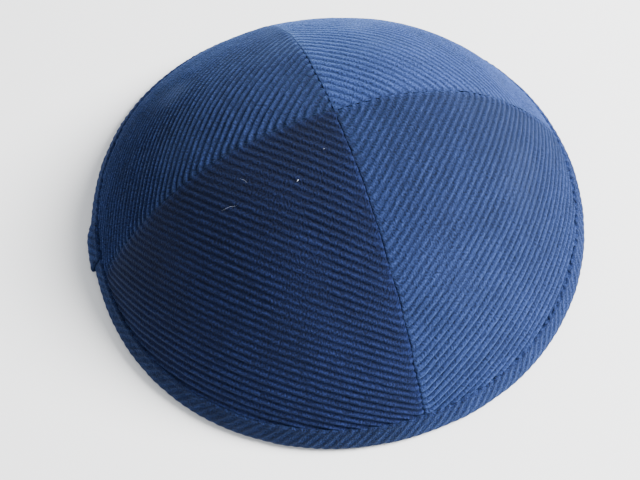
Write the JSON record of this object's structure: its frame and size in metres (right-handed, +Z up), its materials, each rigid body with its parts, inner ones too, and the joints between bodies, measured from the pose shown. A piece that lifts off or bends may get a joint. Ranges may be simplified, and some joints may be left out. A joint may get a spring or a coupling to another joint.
{
  "type": "corduroy kippah",
  "caption": "Domed corduroy skullcap sewn from triangular panels that meet at the apex, its rim bound with a bias-cut strip of the same cloth.",
  "frame": {"origin": "middle of the rim's underside, on the surface it rests on", "axes": "+Z up through the apex, -Y through the middle of the front panel, +X through the middle of the right panel"},
  "size_m": [0.1745, 0.1715, 0.0586],
  "materials": {
    "corduroy": "wide-wale cut pile, matt with a soft sheen along the wales",
    "bias_corduroy": "the same cut pile on the bias, pressed by its stitching"
  },
  "bodies": {
    "root": {"panel_front": "corduroy", "panel_right": "corduroy", "panel_back": "corduroy", "panel_left": "corduroy", "rim_binding": "bias_corduroy"}
  },
  "joints": []
}
